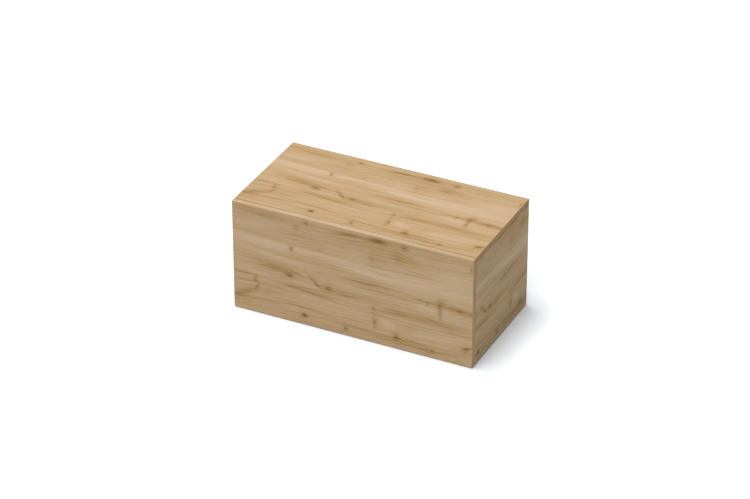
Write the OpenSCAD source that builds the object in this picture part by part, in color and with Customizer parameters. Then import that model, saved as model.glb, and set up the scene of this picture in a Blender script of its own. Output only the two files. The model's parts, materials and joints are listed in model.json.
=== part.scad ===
// Book drop box: a boarded cabinet with a posting slot in its back and a push-to-open drawer behind
// its full-overlay front. Millimetres, +Z up, front facing -Y. The origin is on the floor, under the
// middle of the box.

/* [Overall size] */
// Width of the box, side to side
box_w = 750; // [600:1:1000]
// Depth of the box, front face to rear edge
box_d = 377; // [310:1:520]
// Height of the box, glides included
box_h = 352; // [290:1:480]

/* [Boards] */
// Thickness of every board of the cabinet and the drawer
board_t = 16; // [13.5:0.1:20]
// Thickness of the edge bands
band_t = 1; // [0.8:0.1:2]
// Gap between the front panel and the carcass, which the push latches need
front_gap = 2; // [1.5:0.1:3]
// Height of the glides under the bottom panel
glide_h = 2; // [1:0.5:8]

/* [Posting slot] */
// Clear width of the posting slot
slot_w = 400; // [300:1:500]
// Clear height of the posting slot
slot_h = 70; // [50:1:85]
// Distance from the top panel down to the clear slot
slot_drop = 24; // [20:1:34]
// Thickness of the bezel's flange, which lies flush with the rear edges
bezel_t = 2; // [1.5:0.1:3]
// Radius of the slot flap's hinge pin
flap_pin_r = 2; // [1.5:0.1:2.5]
// Thickness of the slot flap
flap_t = 2; // [1.5:0.1:3]

/* [Drawer] */
// Clearance under the drawer
drawer_lift = 12; // [8:1:20]
// Thickness of the drawer's bottom
drawer_bottom_t = 8; // [6:0.5:10]
// Thickness of the landing mat
mat_t = 10; // [6:1:15]

/* [Runners] */
// Height of a runner's cabinet member
runner_h = 45; // [40:0.5:50]
// Width of a closed runner, cabinet side to drawer side
runner_w = 12.7; // [12.4:0.1:13.2]
// Thickness of the runner steel
runner_t = 1.2; // [1:0.1:1.4]
// Diameter of the runner balls
ball_d = 3.2; // [2.8:0.1:3.6]
// Part of a runner's length that stays engaged when the drawer is fully out
runner_engaged = 155; // [150:1:160]

/* [Push latches] */
// Distance of each latch from the middle of the box
latch_x = 240; // [200:1:260]
// Travel of the latch plunger
latch_travel = 1.5; // [1:0.1:1.5]
// Radius of the latch plunger
plunger_r = 3.5; // [3:0.1:4]

/* [Hidden] */

$fn = 48;
oak = "#c8ac84";
edge_oak = "#cdb189";
pin_fit = 0.05;      // radial clearance of a fastener or pin in its hole
running_fit = 0.08;  // radial clearance of a part that turns or slides
air = 0.3;           // clearance between parts that pass or nearly touch
cut = 1;             // how far a cutter runs past the face it opens

// Screws
screw_tip_r = 0.3;
recess_w = 0.7;
screw_end_gap = 0.5;

// Carcass
inner_x = box_w / 2 - board_t;
front_y = -box_d / 2;
rear_y = box_d / 2;
front_back_y = front_y + board_t;
carcass_y = front_back_y + front_gap;
floor_z = glide_h + board_t;
ceiling_z = box_h - board_t;
back_outer_y = rear_y - bezel_t;
back_y = back_outer_y - board_t;

// Fasteners of the carcass
dowel_r = 4;
dowel_in_face = 10;
dowel_in_end = 20;
dowel_end_gap = 0.5;
cam_r = 7.5;
cam_depth = 12.5;
cam_distance = 24;
cam_slot_l = 9;
cam_slot_w = 2;
cam_slot_depth = 3;
cam_pocket = 4;
bolt_r = 3;
bolt_thread_r = 2.5;
bolt_thread_l = 11;
bolt_head_r = 3.5;
bolt_head_l = 3;
bolt_tunnel_r = 4;
joint_inset = 50;
dowel_spacing = 32;
fixing_hole_r = 2.75;
fixing_inset = 59;
fixing_x = inner_x - fixing_inset;
fixing_low_z = 60;
fixing_rise = 200;

// Glides
glide_r = 11;
glide_inset = 30;

// Posting slot
slot_top_z = ceiling_z - slot_drop;
slot_floor_z = slot_top_z - slot_h;
sleeve_t = 2;
flange_w = 14;
flange_mid = sleeve_t + flange_w / 2;
frame_t = 2;
knuckle_wall = 1.5;
knuckle_gap = 0.5;
knuckle_r = flap_pin_r + knuckle_wall;
flap_axis_y = back_y - frame_t - knuckle_gap - knuckle_r;
flap_axis_z = slot_top_z + sleeve_t + knuckle_gap + knuckle_r;
flap_inner_y = flap_axis_y - knuckle_r;
flap_half_w = slot_w / 2 + sleeve_t - knuckle_gap;
ear_x = flap_half_w + knuckle_gap;
ear_t = 3;
ear_r = knuckle_r + knuckle_wall;
slot_screw_r = 1.6;
slot_screw_head_r = 3;
bezel_screw_l = 9;
frame_screw_l = 7;

// Chute
chute_t = 1.5;
chute_w = slot_w;
chute_reach = 45;
chute_fall = 18;
chute_flange_h = 17;
chute_step = 0.7;
chute_top_z = slot_floor_z - sleeve_t - chute_step;
chute_tip_z = chute_top_z - chute_fall;
chute_screw_xs = [-3, -1, 1, 3] * (slot_w / 8);

// Drawer
drawer_x = inner_x - runner_w;
drawer_back_gap = 15;
drawer_headroom = 14;
drawer_dowel_shares = [0.35, 0.6, 0.85];
drawer_rear_y = back_y - drawer_back_gap;
drawer_floor_z = floor_z + drawer_lift;
drawer_top_z = chute_tip_z - chute_t - drawer_headroom;
groove_lift = 12;
groove_depth = 6;
groove_fit = 0.1;
bottom_z = drawer_floor_z + groove_lift;
mat_z = bottom_z + drawer_bottom_t + air;
mat_gap = 1;
drawer_inside_x = drawer_x - board_t;
inner_front_y = front_back_y + board_t;
drawer_inside_rear_y = drawer_rear_y - board_t;
front_screw_r = 2;
front_screw_head_r = 4;
front_screw_in_panel = 12;
front_screw_l = board_t + front_screw_in_panel;
front_screw_inset = 40;
front_screw_rise = 20;

// Runners
runner_rise = 45;
runner_step = 50;
runner_setback = 2;
runner_lip = 1;
runner_z = drawer_floor_z + runner_rise;
inside_d = back_y - carcass_y;
runner_l = runner_step * floor((inside_d - 2 * runner_setback) / runner_step);
runner_y = carcass_y + runner_setback;
runner_mid_y = runner_y + runner_l / 2;
race_fit = 0.05;
race = ball_d + 2 * race_fit;
outer_race_z = runner_h / 2 - runner_t - race / 2;
middle_half_h = outer_race_z - race / 2;
inner_race_z = middle_half_h - runner_t - race / 2;
drawer_half_h = inner_race_z - race / 2;
cage_t = 0.5;
cage_gap = 0.35;
cage_half_w = 2.4;
middle_web = runner_t + 2 * cage_gap + cage_t;
outer_cage_web = runner_t + cage_gap;
inner_cage_web = middle_web + runner_t + 2 * cage_gap;
cage_step = 0.8;
outer_ball_x = inner_cage_web + cage_t + cage_half_w;
inner_ball_x = outer_ball_x + cage_step;
cage_l = runner_engaged - 15;
ball_pitch = 18;
balls_per_race = 8;
runner_screw_r = 1.75;
runner_screw_head_r = 3;
runner_screw_l = 13;
runner_screw_inset = 37;

// Push latches
latch_w = 14;
latch_drop = 14;
latch_base_w = 28;
latch_base_t = 2;
latch_l = 60;
latch_setback = 2;
latch_axis_drop = 8;
latch_y = carcass_y + latch_setback;
latch_z = ceiling_z - latch_axis_drop;
latch_guide_l = 8;
latch_chamber_r = 5;
latch_end_t = 3;
plunger_collar_r = 4.8;
plunger_collar_l = 4;
plunger_tail_l = 22;
strike_r = 6;
strike_t = 1;
plunger_tip_y = front_back_y + strike_t + air;
plunger_collar_y = latch_y + latch_guide_l + air;
plunger_end_y = plunger_collar_y + plunger_tail_l;
spring_wire_r = 0.35;
spring_turns = 9;
spring_fit = 0.15;
spring_r = plunger_r + spring_wire_r + spring_fit;
latch_screw_r = 1.5;
latch_screw_head_r = 2.8;
latch_screw_l = 11;
latch_screw_inset = 8;
latch_screw_edge = 3.5;
latch_screw_x = latch_base_w / 2 - latch_screw_edge;

// A box between two opposite corners
module block(lo, hi) {
    translate(lo) cube(hi - lo);
}

// A rectangle with quarter-round corners, centred on its middle
module round_rect(size, r) {
    square([size[0] - 2 * r, size[1]], center = true);
    square([size[0], size[1] - 2 * r], center = true);
    for (x = [-1, 1], y = [-1, 1])
        translate([x * (size[0] / 2 - r), y * (size[1] / 2 - r)]) circle(r);
}

// A board between two corners with every edge rounded over
module rounded_board(lo, hi, r) {
    size = hi - lo;
    translate((lo + hi) / 2) intersection() {
        translate([0, 0, -size[2] / 2]) linear_extrude(size[2]) round_rect([size[0], size[1]], r);
        rotate([90, 0, 0]) translate([0, 0, -size[1] / 2])
            linear_extrude(size[1]) round_rect([size[0], size[2]], r);
        rotate([90, 0, 90]) translate([0, 0, -size[0] / 2])
            linear_extrude(size[0]) round_rect([size[1], size[2]], r);
    }
}

// The ring of edge band round a board whose four narrow sides are the ones across the named axis
module band_ring(lo, hi, axis) {
    inset = [for (i = [0:2]) i == axis ? -cut : band_t];
    difference() {
        rounded_board(lo, hi, band_t);
        block(lo + inset, hi - inset);
    }
}

// These turn what grows along +Z to grow along another axis
module along_x() { rotate([0, 90, 0]) children(); }
module along_minus_x() { rotate([0, -90, 0]) children(); }
module along_minus_y() { rotate([90, 0, 0]) children(); }
module along_y() { rotate([-90, 0, 0]) children(); }

// Puts a copy on both sides; the child is drawn for the right-hand side
module both_sides() {
    children();
    mirror([1, 0, 0]) children();
}

// Draws the right-hand side's child on the given side
module on_side(side) {
    mirror([side < 0 ? 1 : 0, 0, 0]) children();
}

// Countersunk screw, its head's face at z = 0 and its point downwards
module screw(l, r, head_r) {
    head_l = head_r - r;
    difference() {
        union() {
            translate([0, 0, -head_l]) cylinder(head_l, r, head_r);
            translate([0, 0, -l + r]) cylinder(l - r, r, r);
            translate([0, 0, -l]) cylinder(r, screw_tip_r, r);
        }
        for (turn = [0, 90])
            rotate(turn) translate([-head_r / 2, -recess_w / 2, -head_l])
                cube([head_r, recess_w, head_l + cut]);
    }
}

// The hole that a screw leaves in what it joins
module screw_hole(l, r, head_r) {
    head_l = head_r - r;
    translate([0, 0, -head_l]) cylinder(head_l, r + pin_fit, head_r + pin_fit);
    translate([0, 0, -l - screw_end_gap]) cylinder(l + screw_end_gap, r + pin_fit, r + pin_fit);
    cylinder(cut, head_r + pin_fit, head_r + pin_fit);
}

// --- Carcass joints --------------------------------------------------------------------------

// Places a child at each corner joint between a side panel and the top or bottom panel.
// In the child's frame +Z runs into the side panel and +X points out of the cabinet.
module at_corner_joints(side, ys) {
    for (s = side, top = [0, 1], y = ys)
        translate([s * (box_w / 2 - board_t / 2), y, top == 1 ? ceiling_z : floor_z])
            mirror([s > 0 ? 0 : 1, 0, 0]) mirror([0, 0, top]) children();
}

// Places a child at each joint between a side panel and the back panel's end. In the child's
// frame +Z runs into the back panel and +X points out of the cabinet's back.
module at_back_joints(side, zs) {
    for (s = side, z = zs)
        translate([s * inner_x, back_y + board_t / 2, z])
            mirror([s > 0 ? 0 : 1, 0, 0]) rotate([0, -90, 0]) rotate(90) children();
}

corner_bolt_ys = [carcass_y + joint_inset, back_y - joint_inset];
corner_dowel_ys = [carcass_y + joint_inset + dowel_spacing, (carcass_y + back_y) / 2,
    back_y - joint_inset - dowel_spacing];
back_bolt_zs = [(floor_z + ceiling_z) / 2];
back_dowel_zs = [floor_z + joint_inset, ceiling_z - joint_inset];

module dowel() {
    translate([0, 0, -dowel_in_face + dowel_end_gap])
        cylinder(dowel_in_face + dowel_in_end - 2 * dowel_end_gap, dowel_r, dowel_r);
}

module dowel_hole() {
    translate([0, 0, -dowel_in_face])
        cylinder(dowel_in_face + dowel_in_end, dowel_r + pin_fit, dowel_r + pin_fit);
}

module cam_bolt() {
    translate([0, 0, -bolt_thread_l + dowel_end_gap])
        cylinder(bolt_thread_l - dowel_end_gap, bolt_thread_r, bolt_thread_r);
    cylinder(cam_distance - bolt_head_l, bolt_r, bolt_r);
    translate([0, 0, cam_distance - bolt_head_l]) cylinder(bolt_head_l, bolt_head_r, bolt_head_r);
}

module cam_bolt_hole() {
    translate([0, 0, -bolt_thread_l])
        cylinder(bolt_thread_l + cut, bolt_thread_r + pin_fit, bolt_thread_r + pin_fit);
    cylinder(cam_distance, bolt_tunnel_r, bolt_tunnel_r);
}

module cam_hole() {
    translate([-board_t / 2 - cut, 0, cam_distance]) along_x()
        cylinder(cam_depth + cut, cam_r + pin_fit, cam_r + pin_fit);
}

module cam_lock() {
    difference() {
        translate([-board_t / 2, 0, cam_distance]) along_x() cylinder(cam_depth, cam_r, cam_r);
        cylinder(cam_distance + cam_pocket, bolt_tunnel_r, bolt_tunnel_r);
        for (turn = [0, 90])
            translate([-board_t / 2, 0, cam_distance]) along_x() rotate(turn)
                translate([-cam_slot_l / 2, -cam_slot_w / 2, -cut])
                cube([cam_slot_l, cam_slot_w, cam_slot_depth + cut]);
    }
}

// Everything that is bored where a side panel, on each given side, meets the other boards
module joint_holes(side) {
    at_corner_joints(side, corner_dowel_ys) dowel_hole();
    at_corner_joints(side, corner_bolt_ys) cam_bolt_hole();
    at_back_joints(side, back_dowel_zs) dowel_hole();
    at_back_joints(side, back_bolt_zs) cam_bolt_hole();
}

// --- Carcass boards --------------------------------------------------------------------------

top_lo = [-box_w / 2, carcass_y, ceiling_z];
top_hi = [box_w / 2, rear_y, box_h];
bottom_lo = [-box_w / 2, carcass_y, glide_h];
bottom_hi = [box_w / 2, rear_y, floor_z];
side_lo = [inner_x, carcass_y, floor_z];
side_hi = [box_w / 2, rear_y, ceiling_z];

module top_panel() {
    color(oak) difference() {
        block(top_lo + [band_t, band_t, 0], top_hi - [band_t, band_t, 0]);
        joint_holes([-1, 1]);
        at_latch_screws() screw_hole(latch_screw_l, latch_screw_r, latch_screw_head_r);
    }
}

module top_edge_band() {
    color(edge_oak) band_ring(top_lo, top_hi, 2);
}

module bottom_panel() {
    color(oak) difference() {
        block(bottom_lo + [band_t, band_t, 0], bottom_hi - [band_t, band_t, 0]);
        joint_holes([-1, 1]);
    }
}

module bottom_edge_band() {
    color(edge_oak) band_ring(bottom_lo, bottom_hi, 2);
}

module side_panel(side) {
    color(oak) difference() {
        on_side(side) block(side_lo + [0, band_t, 0], side_hi - [0, band_t, 0]);
        joint_holes([side]);
        at_corner_joints([side], corner_bolt_ys) cam_hole();
        at_runner_screws([side]) translate([inner_x - runner_t, 0, 0]) along_minus_x()
            screw_hole(runner_screw_l, runner_screw_r, runner_screw_head_r);
    }
}

// The strips on a side panel's front and rear edges; its other two edges butt on boards
module side_edge_band(side) {
    color(edge_oak) on_side(side) difference() {
        intersection() {
            rounded_board(side_lo - [0, 0, 2 * band_t], side_hi + [0, 0, 2 * band_t], band_t);
            block(side_lo - [cut, cut, 0], side_hi + [cut, cut, 0]);
        }
        block(side_lo + [-cut, band_t, -cut], side_hi + [cut, -band_t, cut]);
    }
}

module left_side_panel() { side_panel(-1); }
module right_side_panel() { side_panel(1); }
module left_side_edge_band() { side_edge_band(-1); }
module right_side_edge_band() { side_edge_band(1); }

module back_panel() {
    sleeve_x = slot_w / 2 + sleeve_t + air;
    color(oak) difference() {
        block([-inner_x, back_y, floor_z], [inner_x, back_outer_y, ceiling_z]);
        block([-sleeve_x, back_y - cut, slot_floor_z - sleeve_t - air],
            [sleeve_x, back_outer_y + cut, slot_top_z + sleeve_t + air]);
        at_back_joints([-1, 1], back_dowel_zs) dowel_hole();
        at_back_joints([-1, 1], back_bolt_zs) cam_bolt_hole();
        at_back_joints([-1, 1], back_bolt_zs) cam_hole();
        for (x = [-1, 1], z = [0, 1])
            translate([x * fixing_x, back_y - cut, fixing_low_z + z * fixing_rise]) along_y()
                cylinder(board_t + 2 * cut, fixing_hole_r, fixing_hole_r);
        at_bezel_screws() screw_hole(bezel_screw_l, slot_screw_r, slot_screw_head_r);
        at_frame_screws() screw_hole(frame_screw_l, slot_screw_r, slot_screw_head_r);
        at_chute_screws() screw_hole(frame_screw_l + chute_t, slot_screw_r, slot_screw_head_r);
    }
}

module carcass_dowels() {
    color("burlywood") {
        at_corner_joints([-1, 1], corner_dowel_ys) dowel();
        at_back_joints([-1, 1], back_dowel_zs) dowel();
    }
}

module cam_locks() {
    color("silver") {
        at_corner_joints([-1, 1], corner_bolt_ys) cam_lock();
        at_back_joints([-1, 1], back_bolt_zs) cam_lock();
    }
}

module cam_bolts() {
    color("gray") {
        at_corner_joints([-1, 1], corner_bolt_ys) cam_bolt();
        at_back_joints([-1, 1], back_bolt_zs) cam_bolt();
    }
}

// A round glide with a rounded rim, nailed under a corner
module glide(side, y) {
    rim = min(1, glide_h / 2);
    color("dimgray") translate([side * (box_w / 2 - glide_inset), y, 0]) rotate_extrude()
        union() {
            square([glide_r - rim, glide_h]);
            translate([0, rim]) square([glide_r, glide_h - rim]);
            translate([glide_r - rim, rim]) intersection() {
                circle(rim);
                translate([0, -rim]) square(rim);
            }
        }
}

module front_left_glide() { glide(-1, carcass_y + glide_inset); }
module front_right_glide() { glide(1, carcass_y + glide_inset); }
module rear_left_glide() { glide(-1, rear_y - glide_inset); }
module rear_right_glide() { glide(1, rear_y - glide_inset); }

// --- Posting slot ----------------------------------------------------------------------------

// A rectangle round the clear slot, grown by the given amount, between two depths
module slot_block(grow, y0, y1) {
    block([-slot_w / 2 - grow, y0, slot_floor_z - grow], [slot_w / 2 + grow, y1, slot_top_z + grow]);
}

module at_bezel_screws() {
    for (x = [-1, 0, 1], z = [slot_floor_z - flange_mid, slot_top_z + flange_mid])
        translate([x * (slot_w / 2 + flange_mid), rear_y, z]) along_y() children();
}

module at_frame_screws() {
    for (x = [-1, 1], z = [1, 3])
        translate([x * (slot_w / 2 + flange_mid), back_y - frame_t, slot_floor_z + z * slot_h / 4])
            along_minus_y() children();
}

module at_chute_screws() {
    for (x = chute_screw_xs)
        translate([x, back_y - frame_t - chute_t, slot_floor_z - flange_mid]) along_minus_y() children();
}

// The bezel: a flange on the back and a sleeve through the board
module slot_bezel() {
    color("#3a3c3e") difference() {
        union() {
            slot_block(sleeve_t + flange_w, back_outer_y, rear_y);
            slot_block(sleeve_t, back_y, rear_y);
        }
        slot_block(0, back_y - cut, rear_y + cut);
        at_bezel_screws() screw_hole(bezel_screw_l, slot_screw_r, slot_screw_head_r);
    }
}

// The frame on the inner face: a flange, the collar that the flap shuts on, and the hinge ears
module slot_frame() {
    color("#3a3c3e") difference() {
        union() {
            slot_block(sleeve_t + flange_w, back_y - frame_t, back_y);
            slot_block(sleeve_t, flap_inner_y + flap_t + air, back_y);
            both_sides() frame_ear();
        }
        slot_block(0, flap_inner_y - cut, back_y + cut);
        both_sides() translate([flap_half_w - cut, flap_axis_y, flap_axis_z]) along_x()
            cylinder(ear_t + 3 * cut, flap_pin_r + pin_fit, flap_pin_r + pin_fit);
        at_frame_screws() screw_hole(frame_screw_l, slot_screw_r, slot_screw_head_r);
        at_chute_screws() screw_hole(frame_screw_l + chute_t, slot_screw_r, slot_screw_head_r);
    }
}

module frame_ear() {
    translate([ear_x, flap_axis_y, flap_axis_z]) along_x() cylinder(ear_t, ear_r, ear_r);
    block([ear_x, flap_axis_y, flap_axis_z - ear_r], [ear_x + ear_t, back_y, flap_axis_z + ear_r]);
}

module slot_bezel_screws() {
    color("silver") at_bezel_screws() screw(bezel_screw_l, slot_screw_r, slot_screw_head_r);
}

module slot_frame_screws() {
    color("silver") at_frame_screws() screw(frame_screw_l, slot_screw_r, slot_screw_head_r);
}

// The flap: a plate that hangs from a knuckle and shuts the slot from inside
module slot_flap() {
    color("#55585c") difference() {
        union() {
            translate([-flap_half_w, flap_axis_y, flap_axis_z]) along_x()
                cylinder(2 * flap_half_w, knuckle_r, knuckle_r);
            block([-flap_half_w, flap_inner_y, slot_floor_z - sleeve_t + knuckle_gap],
                [flap_half_w, flap_inner_y + flap_t, flap_axis_z]);
        }
        translate([-flap_half_w - cut, flap_axis_y, flap_axis_z]) along_x()
            cylinder(2 * flap_half_w + 2 * cut, flap_pin_r + running_fit, flap_pin_r + running_fit);
    }
}

module slot_flap_pin() {
    pin_half = ear_x + ear_t;
    color("silver") translate([-pin_half, flap_axis_y, flap_axis_z]) along_x()
        cylinder(2 * pin_half, flap_pin_r, flap_pin_r);
}

// The chute: a bent sheet, seen here from its end and extruded along the slot
module chute() {
    flange_y = back_y - frame_t;
    slope = atan2(chute_fall, chute_reach);
    color("#8b8f93") difference() {
        translate([-chute_w / 2, 0, 0]) rotate([90, 0, 90]) linear_extrude(chute_w) polygon([
            [flange_y, chute_top_z],
            [flange_y - chute_reach, chute_tip_z],
            [flange_y - chute_reach, chute_tip_z - chute_t / cos(slope)],
            [flange_y - chute_t, chute_top_z - chute_t / cos(slope) - chute_t * tan(slope)],
            [flange_y - chute_t, chute_top_z - chute_flange_h],
            [flange_y, chute_top_z - chute_flange_h]]);
        at_chute_screws() screw_hole(frame_screw_l + chute_t, slot_screw_r, slot_screw_head_r);
    }
}

module chute_screws() {
    color("silver") at_chute_screws()
        screw(frame_screw_l + chute_t, slot_screw_r, slot_screw_head_r);
}

// --- Runners ---------------------------------------------------------------------------------

// In a runner's frame X runs from the cabinet's side panel (0) to the drawer (runner_w), Z is up
// from the runner's middle, and Y runs along it. This puts it in its place on one side.
module at_runner(side) {
    on_side(side) translate([inner_x, 0, runner_z]) mirror([1, 0, 0]) children();
}

// A channel of runner steel: a web and two flanges that point along +X or -X from it
module channel(web_x, half_h, flange_from, flange_to) {
    block([web_x, runner_y, -half_h], [web_x + runner_t, runner_y + runner_l, half_h]);
    for (z = [half_h - runner_t, -half_h])
        block([flange_from, runner_y, z], [flange_to, runner_y + runner_l, z + runner_t]);
}

screw_ys = [runner_screw_inset, runner_l / 2, runner_l - runner_screw_inset];

module at_runner_screws(side) {
    for (s = side, y = screw_ys)
        on_side(s) translate([0, runner_y + y, runner_z]) children();
}

module runner_cabinet_member(side) {
    color("silver") difference() {
        at_runner(side) channel(0, runner_h / 2, 0, runner_w - runner_lip);
        at_runner_screws([side]) translate([inner_x - runner_t, 0, 0]) along_minus_x()
            screw_hole(runner_screw_l, runner_screw_r, runner_screw_head_r);
    }
}

module runner_middle_member(side) {
    color("silver") at_runner(side) channel(middle_web, middle_half_h, middle_web, runner_w - runner_lip);
}

module runner_drawer_member(side) {
    color("silver") difference() {
        at_runner(side) channel(runner_w - runner_t, drawer_half_h,
            inner_cage_web + cage_t + cage_gap, runner_w);
        at_runner_screws([side]) translate([drawer_x + runner_t, 0, 0]) along_x()
            screw_hole(runner_screw_l, runner_screw_r, runner_screw_head_r);
    }
}

// A ball cage: a thin web with a perforated strip in each race
module ball_cage(side, web_x, ball_x, race_z) {
    color("#2f5f8f") at_runner(side) difference() {
        union() {
            block([web_x, runner_mid_y - cage_l / 2, -race_z - cage_t],
                [web_x + cage_t, runner_mid_y + cage_l / 2, race_z + cage_t]);
            for (z = [-1, 1])
                block([web_x, runner_mid_y - cage_l / 2, z * race_z - cage_t],
                    [ball_x + cage_half_w, runner_mid_y + cage_l / 2, z * race_z + cage_t]);
        }
        at_balls(ball_x, race_z) sphere(ball_d / 2 + race_fit);
    }
}

module at_balls(ball_x, race_z) {
    for (z = [-1, 1], i = [0:balls_per_race - 1])
        translate([ball_x, runner_mid_y + (i - (balls_per_race - 1) / 2) * ball_pitch, z * race_z])
            children();
}

module balls(side, ball_x, race_z) {
    color("gainsboro") at_runner(side) at_balls(ball_x, race_z) sphere(ball_d / 2);
}

module left_runner_cabinet_member() { runner_cabinet_member(-1); }
module right_runner_cabinet_member() { runner_cabinet_member(1); }
module left_runner_middle_member() { runner_middle_member(-1); }
module right_runner_middle_member() { runner_middle_member(1); }
module left_runner_drawer_member() { runner_drawer_member(-1); }
module right_runner_drawer_member() { runner_drawer_member(1); }
module left_outer_ball_cage() { ball_cage(-1, outer_cage_web, outer_ball_x, outer_race_z); }
module right_outer_ball_cage() { ball_cage(1, outer_cage_web, outer_ball_x, outer_race_z); }
module left_inner_ball_cage() { ball_cage(-1, inner_cage_web, inner_ball_x, inner_race_z); }
module right_inner_ball_cage() { ball_cage(1, inner_cage_web, inner_ball_x, inner_race_z); }
module left_outer_balls() { balls(-1, outer_ball_x, outer_race_z); }
module right_outer_balls() { balls(1, outer_ball_x, outer_race_z); }
module left_inner_balls() { balls(-1, inner_ball_x, inner_race_z); }
module right_inner_balls() { balls(1, inner_ball_x, inner_race_z); }

module runner_cabinet_screws() {
    color("gray") at_runner_screws([-1, 1]) translate([inner_x - runner_t, 0, 0])
        along_minus_x() screw(runner_screw_l, runner_screw_r, runner_screw_head_r);
}

module runner_drawer_screws() {
    color("gray") at_runner_screws([-1, 1]) translate([drawer_x + runner_t, 0, 0]) along_x()
        screw(runner_screw_l, runner_screw_r, runner_screw_head_r);
}

// --- Push latches ----------------------------------------------------------------------------

module at_latch_screws() {
    for (s = [-1, 1], x = [-1, 1], y = [latch_screw_inset, latch_l - latch_screw_inset])
        translate([s * latch_x + x * latch_screw_x, latch_y + y, ceiling_z - latch_base_t])
            mirror([0, 0, 1]) children();
}

// The housing: a base plate under the top panel and a body with a guide bore and a spring chamber
module latch_housing(side) {
    chamber_y = latch_y + latch_guide_l;
    color("#d8d8d4") difference() {
        union() {
            block([side * latch_x - latch_base_w / 2, latch_y, ceiling_z - latch_base_t],
                [side * latch_x + latch_base_w / 2, latch_y + latch_l, ceiling_z]);
            block([side * latch_x - latch_w / 2, latch_y, ceiling_z - latch_drop],
                [side * latch_x + latch_w / 2, latch_y + latch_l, ceiling_z]);
        }
        translate([side * latch_x, latch_y - cut, latch_z]) along_y()
            cylinder(latch_guide_l + 2 * cut, plunger_r + running_fit, plunger_r + running_fit);
        translate([side * latch_x, chamber_y, latch_z]) along_y()
            cylinder(latch_l - latch_guide_l - latch_end_t, latch_chamber_r, latch_chamber_r);
        at_latch_screws() screw_hole(latch_screw_l, latch_screw_r, latch_screw_head_r);
    }
}

module latch_plunger(side) {
    color("#f0f0ec") translate([side * latch_x, 0, latch_z]) {
        translate([0, plunger_tip_y, 0]) along_y()
            cylinder(plunger_end_y - plunger_tip_y, plunger_r, plunger_r);
        translate([0, plunger_collar_y, 0]) along_y()
            cylinder(plunger_collar_l, plunger_collar_r, plunger_collar_r);
    }
}

// A coil spring swept along +Z from its own rings of points
module coil(length, turns, r, wire_r) {
    sides = 6;
    per_turn = 14;
    count = turns * per_turn;
    pitch = (length - 2 * wire_r) / turns;
    ring = [for (i = [0:count]) let (a = 360 * i / per_turn, z = wire_r + pitch * i / per_turn)
        for (j = [0:sides - 1]) let (b = 360 * j / sides)
            [(r + wire_r * cos(b)) * cos(a), (r + wire_r * cos(b)) * sin(a), z + wire_r * sin(b)]];
    walls = [for (i = [0:count - 1], j = [0:sides - 1])
        let (k = (j + 1) % sides, p = i * sides, q = p + sides) [p + j, q + j, q + k, p + k]];
    ends = [[for (j = [0:sides - 1]) j], [for (j = [sides - 1:-1:0]) count * sides + j]];
    polyhedron(ring, concat(walls, ends));
}

// The spring sits on the plunger behind its collar and stops short of the chamber's end
module latch_spring(side) {
    start_y = plunger_collar_y + plunger_collar_l;
    end_y = latch_y + latch_l - latch_end_t - latch_travel - air;
    color("gray") translate([side * latch_x, start_y, latch_z]) along_y()
        coil(end_y - start_y, spring_turns, spring_r, spring_wire_r);
}

module left_latch_housing() { latch_housing(-1); }
module right_latch_housing() { latch_housing(1); }
module left_latch_plunger() { latch_plunger(-1); }
module right_latch_plunger() { latch_plunger(1); }
module left_latch_spring() { latch_spring(-1); }
module right_latch_spring() { latch_spring(1); }

module latch_screws() {
    color("gray") at_latch_screws() screw(latch_screw_l, latch_screw_r, latch_screw_head_r);
}

module strike_plates() {
    color("silver") both_sides() translate([latch_x, front_back_y, latch_z]) along_y()
        cylinder(strike_t, strike_r, strike_r);
}

// --- Drawer ----------------------------------------------------------------------------------

module drawer_groove() {
    x = drawer_inside_x + groove_depth;
    block([-x, inner_front_y - groove_depth, bottom_z - groove_fit],
        [x, drawer_inside_rear_y + groove_depth, bottom_z + drawer_bottom_t + groove_fit]);
}

// Places a child at the dowels between a drawer side and the drawer's front and back.
// In the child's frame +Z runs into the front or back board.
module at_drawer_dowels(side) {
    rise = drawer_top_z - drawer_floor_z;
    for (s = side, y = [inner_front_y, drawer_rear_y], share = drawer_dowel_shares)
        on_side(s) translate([drawer_inside_x, y - board_t / 2, drawer_floor_z + share * rise])
            along_minus_x() children();
}

module drawer_side(side) {
    color(oak) difference() {
        on_side(side) block([drawer_inside_x, front_back_y, drawer_floor_z],
            [drawer_x, drawer_rear_y, drawer_top_z]);
        drawer_groove();
        at_drawer_dowels([side]) dowel_hole();
        at_runner_screws([side]) translate([drawer_x + runner_t, 0, 0]) along_x()
            screw_hole(runner_screw_l, runner_screw_r, runner_screw_head_r);
    }
}

module drawer_left_side() { drawer_side(-1); }
module drawer_right_side() { drawer_side(1); }

module drawer_back() {
    color(oak) difference() {
        block([-drawer_inside_x, drawer_inside_rear_y, drawer_floor_z],
            [drawer_inside_x, drawer_rear_y, drawer_top_z]);
        drawer_groove();
        at_drawer_dowels([-1, 1]) dowel_hole();
    }
}

module drawer_inner_front() {
    color(oak) difference() {
        block([-drawer_inside_x, front_back_y, drawer_floor_z],
            [drawer_inside_x, inner_front_y, drawer_top_z]);
        drawer_groove();
        at_drawer_dowels([-1, 1]) dowel_hole();
        at_front_screws() screw_hole(front_screw_l, front_screw_r, front_screw_head_r);
    }
}

module drawer_bottom() {
    x = drawer_inside_x + groove_depth - groove_fit;
    color("#d9cdb8") block([-x, inner_front_y - groove_depth + groove_fit, bottom_z],
        [x, drawer_inside_rear_y + groove_depth - groove_fit, bottom_z + drawer_bottom_t]);
}

module drawer_dowels() {
    color("burlywood") at_drawer_dowels([-1, 1]) dowel();
}

module landing_mat() {
    color("#4a4d50") block([-drawer_inside_x + mat_gap, inner_front_y + mat_gap, mat_z],
        [drawer_inside_x - mat_gap, drawer_inside_rear_y - mat_gap, mat_z + mat_t]);
}

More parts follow.
